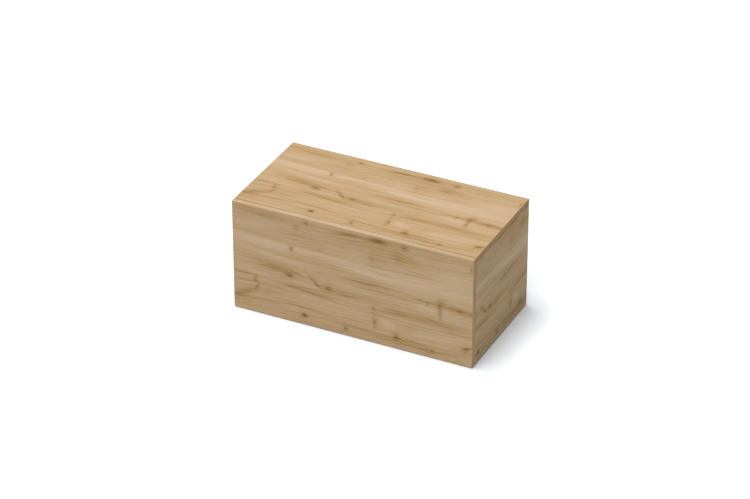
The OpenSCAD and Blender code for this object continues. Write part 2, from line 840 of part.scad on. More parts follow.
front_lo = [-box_w / 2, front_y, glide_h];
front_hi = [box_w / 2, front_back_y, box_h];

module at_front_screws() {
    for (x = [-1, 1], z = [mat_z + mat_t + front_screw_rise, drawer_top_z - front_screw_inset])
        translate([x * (drawer_inside_x - front_screw_inset), inner_front_y, z]) along_y() children();
}

module front_panel() {
    color(oak) difference() {
        block(front_lo + [band_t, 0, band_t], front_hi - [band_t, 0, band_t]);
        at_front_screws() screw_hole(front_screw_l, front_screw_r, front_screw_head_r);
    }
}

module front_edge_band() {
    color(edge_oak) band_ring(front_lo, front_hi, 1);
}

module front_panel_screws() {
    color("silver") at_front_screws() screw(front_screw_l, front_screw_r, front_screw_head_r);
}

top_panel();
top_edge_band();
bottom_panel();
bottom_edge_band();
left_side_panel();
left_side_edge_band();
right_side_panel();
right_side_edge_band();
back_panel();
carcass_dowels();
cam_locks();
cam_bolts();
front_left_glide();
front_right_glide();
rear_left_glide();
rear_right_glide();
slot_bezel();
slot_bezel_screws();
slot_frame();
slot_frame_screws();
slot_flap();
slot_flap_pin();
chute();
chute_screws();
left_runner_cabinet_member();
right_runner_cabinet_member();
left_runner_middle_member();
right_runner_middle_member();
left_runner_drawer_member();
right_runner_drawer_member();
left_outer_ball_cage();
left_outer_balls();
left_inner_ball_cage();
left_inner_balls();
right_outer_ball_cage();
right_outer_balls();
right_inner_ball_cage();
right_inner_balls();
runner_cabinet_screws();
runner_drawer_screws();
left_latch_housing();
right_latch_housing();
left_latch_plunger();
right_latch_plunger();
left_latch_spring();
right_latch_spring();
latch_screws();
strike_plates();
drawer_left_side();
drawer_right_side();
drawer_back();
drawer_inner_front();
drawer_bottom();
drawer_dowels();
landing_mat();
front_panel();
front_edge_band();
front_panel_screws();
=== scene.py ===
import json
from math import pi, radians

import bmesh
import bpy
import numpy as np
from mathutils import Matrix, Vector


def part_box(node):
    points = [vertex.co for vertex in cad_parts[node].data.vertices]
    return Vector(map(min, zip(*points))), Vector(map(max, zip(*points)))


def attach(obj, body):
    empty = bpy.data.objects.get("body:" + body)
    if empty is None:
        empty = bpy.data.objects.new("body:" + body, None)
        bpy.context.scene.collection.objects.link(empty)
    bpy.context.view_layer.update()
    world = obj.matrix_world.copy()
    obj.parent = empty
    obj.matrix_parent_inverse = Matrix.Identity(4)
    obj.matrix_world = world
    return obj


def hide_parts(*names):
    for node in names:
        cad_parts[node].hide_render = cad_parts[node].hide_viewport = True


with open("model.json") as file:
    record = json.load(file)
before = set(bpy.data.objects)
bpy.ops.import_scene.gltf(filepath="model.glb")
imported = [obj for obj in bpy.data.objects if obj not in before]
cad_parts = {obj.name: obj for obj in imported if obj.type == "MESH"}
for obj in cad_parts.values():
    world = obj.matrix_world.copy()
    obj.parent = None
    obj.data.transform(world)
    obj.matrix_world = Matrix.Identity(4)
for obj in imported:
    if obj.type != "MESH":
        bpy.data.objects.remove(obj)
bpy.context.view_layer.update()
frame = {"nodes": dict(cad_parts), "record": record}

bl_info = {
    "name": "Book drop box finish",
    "version": (1, 0, 0),
    "blender": (4, 5, 0),
    "location": "3D View > Sidebar > Drop Box",
    "description": "Finishes, landing mat, light and camera for a book drop box",
    "category": "Object",
}

MM = 0.001
SLOT_OF = {node: piece.material_slots[0].material.name for node, piece in frame["nodes"].items()}
NODES_OF_BODY = frame["record"]["behaviour"]["bodies"]
BODY_OF = {node: body for body, nodes in NODES_OF_BODY.items() for node in nodes}


# ---------------------------------------------------------------- shader expressions


class Socket:
    """A shader socket. Arithmetic on it adds Math nodes and gives the socket of their result."""

    def __init__(self, shader, link):
        self.shader = shader
        self.link = link

    def __add__(self, other):
        return self.shader.maths("ADD", self, other)

    __radd__ = __add__

    def __sub__(self, other):
        return self.shader.maths("SUBTRACT", self, other)

    def __rsub__(self, other):
        return self.shader.maths("SUBTRACT", other, self)

    def __mul__(self, other):
        return self.shader.maths("MULTIPLY", self, other)

    __rmul__ = __mul__

    def __abs__(self):
        return self.shader.maths("ABSOLUTE", self)

    def twin(self, output):
        """Another output of the same node."""
        return Socket(self.shader, self.link.node.outputs[output])


class Shader:
    """Adds nodes to one node tree."""

    def __init__(self, tree):
        self.tree = tree

    def node(self, kind, settings=None, values=None, output=0):
        """Adds a node: first its settings, then its sockets' values or links. Gives one output."""
        node = self.tree.nodes.new(kind)
        for name, value in (settings or {}).items():
            if name == "stops":
                set_stops(node.color_ramp, value)
            else:
                setattr(node, name, value)
        for key, value in (values or {}).items():
            if isinstance(value, Socket):
                self.tree.links.new(value.link, node.inputs[key])
            else:
                node.inputs[key].default_value = value
        return Socket(self, node.outputs[output]) if len(node.outputs) else None

    def maths(self, operation, *values):
        return self.node("ShaderNodeMath", {"operation": operation}, dict(enumerate(values)))

    def vector(self, operation, *values, output=0):
        settings = {"operation": operation}
        return self.node("ShaderNodeVectorMath", settings, dict(enumerate(values)), output)

    def combine(self, x, y, z):
        return self.node("ShaderNodeCombineXYZ", values={0: x, 1: y, 2: z})

    def separate(self, place):
        x = self.node("ShaderNodeSeparateXYZ", values={0: place})
        return x, x.twin(1), x.twin(2)

    def object_place(self):
        return self.node("ShaderNodeTexCoord", output="Object")

    def stretched(self, place, *lengths):
        """The place measured in the given lengths, in millimetres, along the three axes."""
        return self.vector("MULTIPLY", place, [1 / (length * MM) for length in lengths])

    def noise(self, place, *lengths, detail=2.0, roughness=0.5, distortion=0.0):
        """Smooth noise from 0 to 1, with lumps of about the given lengths along the three axes.

        One length serves all three axes; lengths are in millimetres.
        """
        lengths = lengths if len(lengths) == 3 else lengths * 3
        values = {"Vector": self.stretched(place, *lengths), "Scale": 1.0, "Detail": detail}
        values |= {"Roughness": roughness, "Distortion": distortion}
        return self.node("ShaderNodeTexNoise", None, values)

    def between(self, value, low, high, from_value=0.0, to_value=1.0):
        """A smooth step from one value to another while the input goes from low to high."""
        values = {0: value, 1: low, 2: high, 3: from_value, 4: to_value}
        return self.node("ShaderNodeMapRange", {"interpolation_type": "SMOOTHSTEP"}, values)

    def mix(self, share, first, second, blend="MIX"):
        settings = {"data_type": "RGBA", "blend_type": blend}
        return self.node("ShaderNodeMix", settings, {0: share, 6: first, 7: second}, 2)

    def ramp(self, value, stops):
        return self.node("ShaderNodeValToRGB", {"stops": stops}, {0: value})

    def bump(self, height, depth, strength=1.0):
        """The normal of a surface that is depth millimetres high where the height is 1."""
        values = {"Height": height, "Distance": depth * MM, "Strength": strength}
        return self.node("ShaderNodeBump", None, values)


def set_stops(ramp, stops):
    """Gives a colour ramp its stops: pairs of a place and a colour."""
    while len(ramp.elements) < len(stops):
        ramp.elements.new(1.0)
    for element, (place, colour) in zip(ramp.elements, stops):
        element.position = place
        element.color = (*colour, 1.0)


def material(name, paint, constants=None):
    """A material: its varying inputs come from paint(shader), and its constants stay on the shader."""
    made = bpy.data.materials.new(name)
    made.use_nodes = True
    surface = made.node_tree.nodes["Principled BSDF"]
    for key, value in (constants or {}).items():
        surface.inputs[key].default_value = value
    for key, value in paint(Shader(made.node_tree)).items():
        made.node_tree.links.new(value.link, surface.inputs[key])
    return made


def tinted(colour, share):
    """A colour with each channel times a share, or times its own share."""
    shares = share if hasattr(share, "__len__") else (share,) * 3
    return tuple(min(channel * part, 1.0) for channel, part in zip(colour, shares))


def opaque(colour):
    return (*colour, 1.0)


def rim_mask(sh, low, high, axes, width):
    """1 on the rim of a box and 0 further in than the width, in millimetres, across the named axes."""
    parts = sh.separate(sh.object_place())
    nearest = None
    for axis in axes:
        middle = (low[axis] + high[axis]) / 2
        half = (high[axis] - low[axis]) / 2
        inward = half - abs(parts[axis] - middle)
        nearest = inward if nearest is None else sh.maths("MINIMUM", nearest, inward)
    return sh.between(nearest, 0.0, width * MM, 1.0, 0.0)


# ---------------------------------------------------------------- meshes


def new_piece(name, vertices, faces):
    """A smooth mesh object, at the origin, from its vertices and faces."""
    mesh = bpy.data.meshes.new(name)
    mesh.from_pydata(np.asarray(vertices, float).tolist(), [], faces)
    mesh.validate()
    mesh.polygons.foreach_set("use_smooth", np.ones(len(mesh.polygons), bool))
    piece = bpy.data.objects.new(name, mesh)
    bpy.context.scene.collection.objects.link(piece)
    return piece


def tube_faces(rings, points, close_rings=True):
    """Quads between neighbouring rings of points: each ring is closed, and the row of them if asked."""
    spans = rings if close_rings else rings - 1
    ring, point = np.meshgrid(np.arange(spans), np.arange(points), indexing="ij")
    next_ring = (ring + 1) % rings
    next_point = (point + 1) % points
    corners = (ring * points + point, next_ring * points + point,
               next_ring * points + next_point, ring * points + next_point)
    return np.stack(corners, -1).reshape(-1, 4).tolist()


def rounded_rectangle(half_x, half_y, corner, steps=10):
    """Points and outward directions around a rectangle whose corners are quarter circles."""
    turn = (np.arange(4)[:, None] + np.linspace(0, 1, steps)[None, :]) * pi / 2
    outward = np.stack([np.cos(turn), np.sin(turn)], -1)
    quarter = np.array([[1, 1], [-1, 1], [-1, -1], [1, -1]])
    centre = quarter * [half_x - corner, half_y - corner]
    points = centre[:, None, :] + corner * outward
    return points.reshape(-1, 2), outward.reshape(-1, 2)


def softened(node, width):
    """A copy of a CAD piece with its edges rounded over by the width, in millimetres.

    The loose triangles are joined, flat stretches become one face, and a Bevel modifier rounds each
    edge that bends by more than the sharp angle.
    """
    sharp = radians(40)
    shape = bmesh.new()
    shape.from_mesh(frame["nodes"][node].data)
    bmesh.ops.remove_doubles(shape, verts=shape.verts, dist=0.002 * MM)
    bmesh.ops.dissolve_limit(shape, angle_limit=radians(0.6), verts=shape.verts, edges=shape.edges)
    mesh = bpy.data.meshes.new(node + "_soft")
    shape.to_mesh(mesh)
    shape.free()
    if "custom_normal" in mesh.attributes:
        mesh.attributes.remove(mesh.attributes["custom_normal"])
    mesh.polygons.foreach_set("use_smooth", np.ones(len(mesh.polygons), bool))
    mesh.set_sharp_from_angle(angle=sharp)
    mesh.materials.clear()
    piece = bpy.data.objects.new(node + "_soft", mesh)
    bpy.context.scene.collection.objects.link(piece)
    bevel = piece.modifiers.new("rounding", "BEVEL")
    bevel.width = width * MM
    bevel.segments = 2
    bevel.limit_method = "ANGLE"
    bevel.angle_limit = sharp
    bevel.harden_normals = True
    return piece


def nodes_of_slot(slot):
    return [node for node in SLOT_OF if SLOT_OF[node] == slot]


def stand_in(piece, node, finish):
    """The piece takes a CAD node's place and body, and gets its finish; the node is hidden."""
    piece.data.materials.append(finish)
    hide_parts(node)
    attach(piece, BODY_OF[node])


def finish_node(node, finish):
    """Gives a CAD node, which stays as it is, its finish."""
    for slot in frame["nodes"][node].material_slots:
        slot.material = finish


def finish_nodes(nodes, finish, rounding=None):
    """Gives CAD nodes a finish; with a rounding, in millimetres, softened copies stand in for them."""
    for node in nodes:
        if rounding:
            stand_in(softened(node, rounding), node, finish)
        else:
            finish_node(node, finish)


# ---------------------------------------------------------------- oak decor

# The tones of the oak print, from light to dark, as shares of its mean colour.
TONES = (
    (0.00, (1.24, 1.33, 1.60)),
    (0.28, (1.12, 1.17, 1.33)),
    (0.50, (1.00, 1.00, 1.00)),
    (0.62, (0.93, 0.89, 0.80)),
    (0.80, (0.72, 0.64, 0.50)),
    (1.00, (0.40, 0.32, 0.22)),
)

# Soft patches of the print in millimetres: place along and across the grain, reach along and across,
# turn in degrees, and how much darker (or, below zero, lighter) the tone gets.
PATCHES = (
    (95, 28, 90, 9, 2, 0.16), (400, 28, 120, 7, 0, 0.14), (690, 26, 70, 8, 0, 0.09),
    (420, 55, 130, 20, 0, 0.07), (540, 62, 40, 18, 0, 0.10), (60, 74, 60, 14, 0, -0.08),
    (250, 84, 110, 12, 0, 0.03), (690, 92, 70, 18, 0, -0.18), (70, 124, 110, 15, 0, -0.26),
    (320, 124, 120, 10, 0, -0.14), (430, 140, 100, 9, 0, -0.22), (620, 140, 140, 20, 0, -0.24),
    (130, 162, 140, 9, 4, -0.12), (405, 174, 90, 6, 0, 0.18), (120, 194, 70, 11, 8, 0.16),
    (380, 221, 100, 11, 1, 0.14), (256, 203, 24, 4, 35, 0.16), (620, 206, 60, 10, 0, -0.20),
    (55, 226, 60, 7, 2, -0.14), (225, 246, 90, 8, 2, 0.13), (503, 244, 38, 9, 0, 0.16),
    (650, 241, 110, 8, 0, 0.16), (120, 280, 45, 14, -20, 0.05), (30, 306, 40, 12, -25, 0.26),
    (300, 288, 130, 9, 4, -0.04), (486, 292, 22, 12, 0, -0.18), (630, 296, 90, 8, -3, -0.12),
    (640, 275, 90, 3, -4, 0.07), (225, 304, 80, 4, 4, 0.10), (590, 334, 100, 9, 1, 0.10),
    (330, 346, 260, 7, 0, 0.08), (725, 325, 50, 9, -10, 0.09), (420, 318, 60, 7, 4, 0.05),
    (130, 40, 110, 8, 2, 0.07), (450, 88, 36, 18, 0, 0.13), (625, 41, 50, 9, 0, 0.14),
    (430, 190, 90, 7, 2, 0.13), (485, 131, 50, 5, 4, 0.12), (556, 293, 18, 14, 0, 0.09),
    (590, 251, 150, 6, 0, 0.07), (330, 325, 120, 7, 3, 0.07), (320, 160, 70, 6, 0, 0.08),
    (26, 333, 40, 9, 0, 0.15), (375, 118, 380, 5, 0, -0.12), (60, 262, 50, 5, 0, 0.10),
)

# Thin dark lines of the print, in the same terms.
LINES = (
    (245, 136, 40, 1.6, -2, 0.16), (315, 142, 34, 1.6, 9, 0.14), (465, 131, 26, 1.5, 12, 0.16),
    (283, 179, 28, 2.2, 3, 0.22), (110, 148, 90, 1.8, 3, 0.10), (285, 257, 80, 2.0, 4, 0.12),
    (430, 262, 90, 1.8, 3, 0.12), (610, 181, 36, 2.4, 1, 0.22), (700, 183, 56, 9, 3, 0.20),
    (652, 171, 14, 8, 0, 0.22), (650, 206, 8, 19, -3, 0.34), (72, 253, 7, 10, 0, 0.24),
    (76, 277, 5, 12, 30, 0.18), (446, 262, 6, 15, 0, 0.08), (449, 306, 7, 13, 8, 0.14),
    (550, 326, 40, 9, 6, 0.08), (645, 66, 2, 9, 10, 0.16), (740, 300, 20, 4, -24, 0.22),
    (610, 190, 3, 6, 0, 0.20), (150, 330, 120, 1.8, 2, 0.08), (640, 326, 80, 1.8, -3, 0.10),
    (60, 138, 60, 2, 4, 0.12), (150, 149, 60, 2, 0, 0.07), (205, 200, 34, 3, 12, 0.14),
    (259, 214, 26, 3, 38, 0.22), (272, 219, 16, 3, 45, 0.14),
    (40, 238, 50, 5, 0, 0.14), (180, 246, 70, 2.2, -6, 0.14), (240, 250, 60, 2.4, 4, 0.14),
    (345, 263, 60, 2.0, 4, 0.09), (480, 268, 60, 2, 3, 0.10), (650, 268, 80, 3, -3, 0.06),
    (120, 312, 70, 4, -6, 0.12), (210, 306, 60, 3, 5, 0.12), (350, 322, 60, 3, 6, 0.10),
    (420, 330, 90, 7, 3, 0.09), (480, 334, 60, 6, 0, 0.05), (600, 341, 60, 4, 1, 0.10),
    (690, 334, 50, 4, -6, 0.12), (345, 231, 50, 7, 2, 0.16), (430, 176, 70, 4, 0, 0.12),
)

# Knots of the print: place along and across the grain, reach along and across, and darkness.
KNOTS = (
    (187, 121, 6, 6.5, 0.46), (180, 211, 14, 9, 0.21), (302, 221, 13, 11, 0.19), (227, 332, 8, 8, 0.30),
    (357, 339, 6, 6, 0.30), (448, 289, 7, 8, 0.23), (444, 247, 7, 5, 0.16), (515, 323, 10, 10, 0.24),
    (628, 338, 6, 5, 0.18), (711, 187, 9, 5, 0.14), (730, 307, 13, 9, 0.20), (460, 26, 26, 9, 0.25),
    (540, 28, 11, 9, 0.20), (365, 27, 26, 6, 0.14), (235, 27, 8, 8, 0.18), (205, 47, 10, 10, 0.14),
    (744, 44, 5, 9, 0.20), (520, 72, 18, 11, 0.08), (275, 101, 8, 5, 0.10), (350, 74, 6, 4, 0.10),
    (440, 90, 7, 14, 0.08), (748, 190, 8, 5, 0.16),
)


def spot(sh, place, along, across, reach_along, reach_across, turn=0.0):
    """The distance from a spot's middle, counted in its reaches; the depth doesn't matter.

    A turned spot takes the place's shares along its own two axes first, by dot products.
    """
    middle = np.array([along, across]) * MM
    reach = np.array([reach_along, reach_across]) * MM
    if turn:
        bearing = np.array([np.cos(radians(turn)), np.sin(radians(turn))])
        axes = np.array([bearing, (-bearing[1], bearing[0])])
        middle = axes @ middle
        shares = [sh.vector("DOT_PRODUCT", place, (*axis, 0.0), output="Value") for axis in axes]
        place = sh.combine(*shares, 0.0)
    local = sh.vector("MULTIPLY_ADD", place, (*(1 / reach), 0.0), (*(-middle / reach), 0.0))
    return sh.vector("LENGTH", local, output="Value")


def oak_print(colour, grain):
    """The node group of the oak print, read at a place along, across and through the board.

    The tone is a sum of bell curves (patches, lines, knots), slow bands of noise, growth lines that
    are a sine of the place across the grain and swell around the knots, and fine fibres and pores.
    """
    tree = bpy.data.node_groups.new("oak_print", "ShaderNodeTree")
    tree.interface.new_socket("Place", in_out="INPUT", socket_type="NodeSocketVector")
    for name, kind in (("Colour", "Color"), ("Roughness", "Float"), ("Height", "Float")):
        tree.interface.new_socket(name, in_out="OUTPUT", socket_type="NodeSocket" + kind)
    sh = Shader(tree)
    place = sh.node("NodeGroupInput")
    ragged = sh.noise(place, 26, 7, 7, detail=3.0) - 0.5
    drift = sh.noise(place, 210, 34, 34, detail=1.0) - 0.5
    shift = sh.combine(ragged * (10 * MM), ragged * (4 * MM) + drift * (9 * MM), 0.0)
    wavy = sh.vector("ADD", place, shift)

    tone = drift * 0.08
    for *where, darker in PATCHES + LINES:
        tone = tone + sh.between(spot(sh, wavy, *where), 0.0, 1.9, darker, 0.0)
    swell = 0.0
    for *where, darker in KNOTS:
        distance = spot(sh, wavy, *where)
        tone = tone + sh.between(distance, 0.0, 1.8, darker, 0.0)
        halo = sh.between(distance, 0.0, 4.5, 1.0, 0.0)
        tone = tone + halo * (0.22 * darker)
        swell = halo + swell

    across = sh.separate(wavy)[1] + swell * (9 * MM)
    rings = sh.maths("SINE", across * (2 * pi / (9.5 * MM)) + drift * 9.0)
    busy = sh.between(sh.noise(place, 160, 26, 26), 0.38, 0.62)
    bands = sh.noise(wavy, 260, 13, 13, detail=3.0) - 0.5
    fibres = sh.noise(wavy, 55, 1.3, 1.3, detail=3.0, roughness=0.6) - 0.5
    threads = sh.noise(wavy, 24, 0.35, 0.35, detail=2.0) - 0.5
    pores = sh.between(sh.noise(wavy, 9, 0.45, 0.45), 0.62, 0.74)
    tone = tone + (bands * 0.46 + rings * busy * 0.08 + fibres * 0.30 + threads * 0.16) * grain
    tone = tone + pores * (0.14 * grain)

    shade = sh.ramp(tone * 1.12 + 0.5, [(stop, tinted(colour, share)) for stop, share in TONES])
    flecks = sh.noise(place, 3.2, 1.1, 1.1, detail=1.0) - 0.5
    speckled = sh.combine(*[1.0 + flecks * part for part in (0.05, 0.06, 0.08)])
    shade = sh.mix(1.0, shade, speckled, "MULTIPLY")
    rough = 0.60 + pores * 0.14 + fibres * 0.10
    height = 0.6 - pores * 0.5 + threads * 0.3 + fibres * 0.2
    sh.node("NodeGroupOutput", values={"Colour": shade, "Roughness": rough, "Height": height})
    return tree


class Board:
    """One board: which axis runs along the grain, which across it, and where its cut of the print lies.

    Along and across are an axis number and a direction; start is the print's place, in millimetres,
    at the board's corner where both begin.
    """

    def __init__(self, node, along, across, start, banded):
        self.node = node
        self.along = along
        self.across = across
        self.start = start
        self.banded = banded

    def place(self, sh):
        """The print's place: both coordinates grow from the board's corner; there is no third one."""
        low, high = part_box(self.node)
        parts = sh.separate(sh.object_place())
        found = []
        for (axis, way), start in zip((self.along, self.across), self.start):
            corner = low[axis] if way > 0 else high[axis]
            found.append((parts[axis] - corner) * way + start * MM)
        through = 3 - self.along[0] - self.across[0]
        depth = 0.0 if self.banded else parts[through] - low[through]
        return sh.combine(found[0], found[1] + depth, 0.0)

    def paint(self, group):
        """Print on the board; a fine dark line runs round it where the edge band starts: partly a glue
        line, partly painted shade in the joint.
        """
        low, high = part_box(self.node)
        rim_axes = (self.along[0], self.across[0])

        def draw(sh):
            oak = sh.node("ShaderNodeGroup", {"node_tree": group}, {"Place": self.place(sh)})
            handled = sh.noise(sh.object_place(), 90, detail=3.0) - 0.5
            # Fine dark line round the board's face: partly a glue line, partly painted shade where the
            # board meets its band or its neighbour.
            glue_line_and_joint_shade = rim_mask(sh, low, high, rim_axes, 0.35)
            colour = sh.mix(glue_line_and_joint_shade * (0.45 if self.banded else 0.25), oak, opaque((0.12, 0.075, 0.04)))
            normal = sh.bump(oak.twin("Height"), 0.05, 0.6)
            return {"Base Color": colour, "Roughness": oak.twin("Roughness") + handled * 0.14,
                    "Normal": normal}

        return draw


X, Y, Z = 0, 1, 2
BOARDS = (
    Board("top_panel", (X, 1), (Y, -1), (1, 1), True),
    Board("front_panel", (X, 1), (Z, -1), (1, 13), True),
    Board("right_side_panel", (Y, 1), (Z, -1), (206, 29), True),
    Board("left_side_panel", (Y, -1), (Z, -1), (300, 20), True),
    Board("bottom_panel", (X, -1), (Y, 1), (20, 5), True),
    Board("back_panel", (X, -1), (Z, -1), (10, 22), False),
    Board("drawer_left_side", (Y, -1), (Z, -1), (40, 100), False),
    Board("drawer_right_side", (Y, 1), (Z, -1), (330, 60), False),
    Board("drawer_back", (X, -1), (Z, -1), (60, 180), False),
    Board("drawer_inner_front", (X, 1), (Z, -1), (25, 90), False),
)

# Unbanded boards that stay sharp: their small holes leave no room for a rounded edge.
SHARP = ("drawer_left_side", "drawer_right_side")

# Each banded board's band, the axis through the board, the cut of the print across the grain in
# millimetres, and the painted shade and tint of the stretches that face the ends of the box.
BANDS = (
    ("top_edge_band", Z, 118, (0.73, 0.62, 0.45)), ("bottom_edge_band", Z, 112, (1.0, 0.98, 0.93)),
    ("left_side_edge_band", X, 128, None), ("right_side_edge_band", X, 136, None),
    ("front_edge_band", Y, 122, (0.88, 0.78, 0.67)),
)


def band_paint(group, node, through, cut, ends):
    """Edge band: the print's grain runs along each of the ring's four stretches.

    A stretch whose surface faces along one of the board's two axes runs along the other one, so the
    place along the grain is chosen by the surface's direction.
    """
    low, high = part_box(node)
    first, second = [axis for axis in (X, Y, Z) if axis != through]

    def draw(sh):
        parts = sh.separate(sh.object_place())
        facing = sh.separate(sh.node("ShaderNodeTexCoord", output="Normal"))
        faces_first = sh.maths("GREATER_THAN", abs(facing[first]), abs(facing[second]))
        faces_through = sh.maths("GREATER_THAN", abs(facing[through]), 0.9)
        along = parts[first] + (parts[second] - parts[first]) * faces_first
        rest = parts[first] + parts[second] - along
        across = parts[through] + (rest - parts[through]) * faces_through
        start = 0.4 - low[first] / 2
        place = sh.combine(along + start, across + (cut * MM - low[through]), 0.0)
        oak = sh.node("ShaderNodeGroup", {"node_tree": group}, {"Place": place})
        rubbed = sh.between(sh.noise(sh.object_place(), 14, detail=3.0), 0.5, 0.75)
        worn = rim_mask(sh, low, high, (through,), 0.9) * rubbed
        colour = sh.mix(worn * 0.22, oak, opaque((0.60, 0.46, 0.30)))
        # Painted shade: the stretches that face the ends of the box are darkened and tinted by these
        # factors.
        if ends:
            painted_end_shade = sh.combine(*[1.0 - faces_first * (1.0 - share) for share in ends])
            colour = sh.mix(1.0, colour, painted_end_shade, "MULTIPLY")
        return {"Base Color": colour, "Roughness": oak.twin("Roughness") - 0.06 - worn * 0.1,
                "Normal": sh.bump(oak.twin("Height"), 0.04, 0.5)}

    return draw


# ---------------------------------------------------------------- other finishes


def beech_paint(sh):
    """Beech: pinkish brown, with short darker flecks along the dowel."""
    place = sh.object_place()
    flecks = sh.between(sh.noise(place, 2.5, 2.5, 0.8), 0.56, 0.68)
    grain = sh.noise(place, 9, 1.2, 1.2, detail=3.0)
    colour = sh.ramp(grain, [(0.3, (0.66, 0.46, 0.29)), (0.7, (0.52, 0.33, 0.19))])
    colour = sh.mix(flecks * 0.5, colour, opaque((0.33, 0.18, 0.09)))
    return {"Base Color": colour, "Roughness": 0.52 + flecks * 0.15,
            "Normal": sh.bump(grain - flecks * 0.4, 0.08)}


def cast_zinc_paint(sh):
    """Die-cast zinc: matt grey skin with fine grain and darker, smoother flow marks."""
    place = sh.object_place()
    grain = sh.noise(place, 0.35, detail=3.0)
    flow = sh.noise(place, 5, 5, 2, detail=2.0, distortion=0.8)
    colour = sh.ramp(flow, [(0.35, (0.50, 0.50, 0.52)), (0.65, (0.36, 0.36, 0.38))])
    return {"Base Color": colour, "Roughness": 0.36 + grain * 0.22, "Normal": sh.bump(grain, 0.05)}


def plated_steel_paint(sh):
    """Zinc-plated steel: bluish white with faint straw-coloured clouds and fine scratches."""
    place = sh.object_place()
    clouds = sh.noise(place, 4, detail=3.0)
    scratches = sh.between(sh.noise(place, 0.12, 3, 1, detail=1.0), 0.6, 0.72)
    stops = [(0.3, (0.68, 0.70, 0.74)), (0.52, (0.70, 0.69, 0.66)), (0.7, (0.62, 0.59, 0.50))]
    colour = sh.ramp(clouds, stops)
    colour = sh.mix(scratches * 0.4, colour, opaque((0.42, 0.42, 0.42)))
    return {"Base Color": colour, "Roughness": 0.26 + clouds * 0.14 + scratches * 0.12,
            "Normal": sh.bump(scratches, 0.01)}


def runner_steel_paint(sh):
    """Galvanised strip: roll lines along the runner, dull spangle and a film of grease in the races."""
    place = sh.object_place()
    rolled = sh.noise(place, 0.5, 60, 0.5, detail=3.0)
    cells = {"Vector": sh.stretched(place, 5, 8, 5), "Scale": 1.0}
    spangle = sh.node("ShaderNodeTexVoronoi", None, cells)
    grease = sh.between(sh.noise(place, 9, 40, 6, detail=3.0), 0.45, 0.7)
    colour = sh.ramp(rolled, [(0.3, (0.56, 0.58, 0.61)), (0.7, (0.42, 0.44, 0.47))])
    colour = sh.mix(spangle * 0.35, colour, opaque((0.63, 0.65, 0.68)))
    colour = sh.mix(grease * 0.35, colour, opaque((0.30, 0.27, 0.20)))
    return {"Base Color": colour, "Roughness": 0.44 - grease * 0.16 + rolled * 0.06,
            "Normal": sh.bump(rolled, 0.015)}


def ball_paint(sh):
    """Polished bearing balls, a little scuffed and dimmed by grease."""
    place = sh.object_place()
    scuff = sh.between(sh.noise(place, 0.8, detail=3.0), 0.5, 0.7)
    colour = sh.mix(scuff, opaque((0.72, 0.73, 0.75)), opaque((0.50, 0.49, 0.46)))
    return {"Base Color": colour, "Roughness": 0.10 + scuff * 0.2}


def spring_paint(sh):
    """Drawn spring wire: dark straw and grey tempering colours along the wire."""
    place = sh.object_place()
    temper = sh.noise(place, 2, 5, 2, detail=2.0)
    drawn = sh.noise(place, 0.3, 0.15, 0.3, detail=2.0)
    colour = sh.ramp(temper, [(0.35, (0.36, 0.35, 0.34)), (0.65, (0.28, 0.24, 0.18))])
    return {"Base Color": colour, "Roughness": 0.28 + drawn * 0.2, "Normal": sh.bump(drawn, 0.01)}


def moulded_paint(colour, lump, scuffed, low=None, high=None, axes=()):
    """Moulded plastic: eroded mould texture, faint flow clouds, and rubbed edges that shine."""

    def draw(sh):
        place = sh.object_place()
        texture = sh.noise(place, lump, detail=3.0, roughness=0.65)
        clouds = sh.noise(place, 22, detail=3.0)
        scuff = sh.between(sh.noise(place, 3, 0.5, 8, detail=3.0), 0.58, 0.74)
        tone = sh.ramp(clouds, [(0.3, tinted(colour, 0.9)), (0.7, tinted(colour, 1.12))])
        if axes:
            worn = rim_mask(sh, low, high, axes, 2.5) * sh.between(clouds, 0.4, 0.6)
        else:
            worn = scuff * 0.5
        tone = sh.mix(worn * 0.5 + scuff * 0.25, tone, opaque(scuffed))
        return {"Base Color": tone, "Roughness": 0.52 - worn * 0.16 + texture * 0.12,
                "Normal": sh.bump(texture, 0.04, 0.7)}

    return draw


def powder_paint(colour, low, high, axes):
    """Powder coat: orange peel, a faint speckle, and bare bright edges where books rub it."""

    def draw(sh):
        place = sh.object_place()
        peel = sh.noise(place, 1.6, detail=2.0)
        speckle = sh.noise(place, 0.5, detail=2.0)
        ragged = sh.noise(place, 5, detail=4.0)
        worn = sh.between(rim_mask(sh, low, high, axes, 3.0) + ragged, 1.25, 1.38)
        lines = sh.between(sh.noise(place, 0.9, 30, 30, detail=3.0), 0.60, 0.74)
        tone = sh.ramp(speckle, [(0.35, tinted(colour, 0.92)), (0.65, tinted(colour, 1.1))])
        tone = sh.mix(lines * 0.3, tone, opaque(tinted(colour, 1.5)))
        tone = sh.mix(worn, tone, opaque((0.55, 0.55, 0.54)))
        return {"Base Color": tone, "Roughness": 0.46 + speckle * 0.08 - lines * 0.08, "Metallic": worn,
                "Normal": sh.bump(peel - worn * 0.5, 0.08, 0.6)}

    return draw


def hardboard_paint(sh):
    """Grey lacquered hardboard: pressed fibres under the lacquer and faint slide marks."""
    place = sh.object_place()
    fibres = sh.noise(place, 2.2, 0.5, 0.5, detail=4.0, distortion=1.2)
    clouds = sh.noise(place, 70, detail=3.0)
    marks = sh.between(sh.noise(place, 1.2, 60, 10, detail=2.0), 0.62, 0.72)
    colour = sh.ramp(fibres, [(0.3, (0.36, 0.355, 0.34)), (0.7, (0.47, 0.465, 0.45))])
    colour = sh.mix(clouds * 0.2, colour, opaque((0.33, 0.31, 0.27)))
    colour = sh.mix(marks * 0.3, colour, opaque((0.60, 0.59, 0.57)))
    return {"Base Color": colour, "Roughness": 0.46 + fibres * 0.12 - marks * 0.08,
            "Normal": sh.bump(fibres, 0.06)}


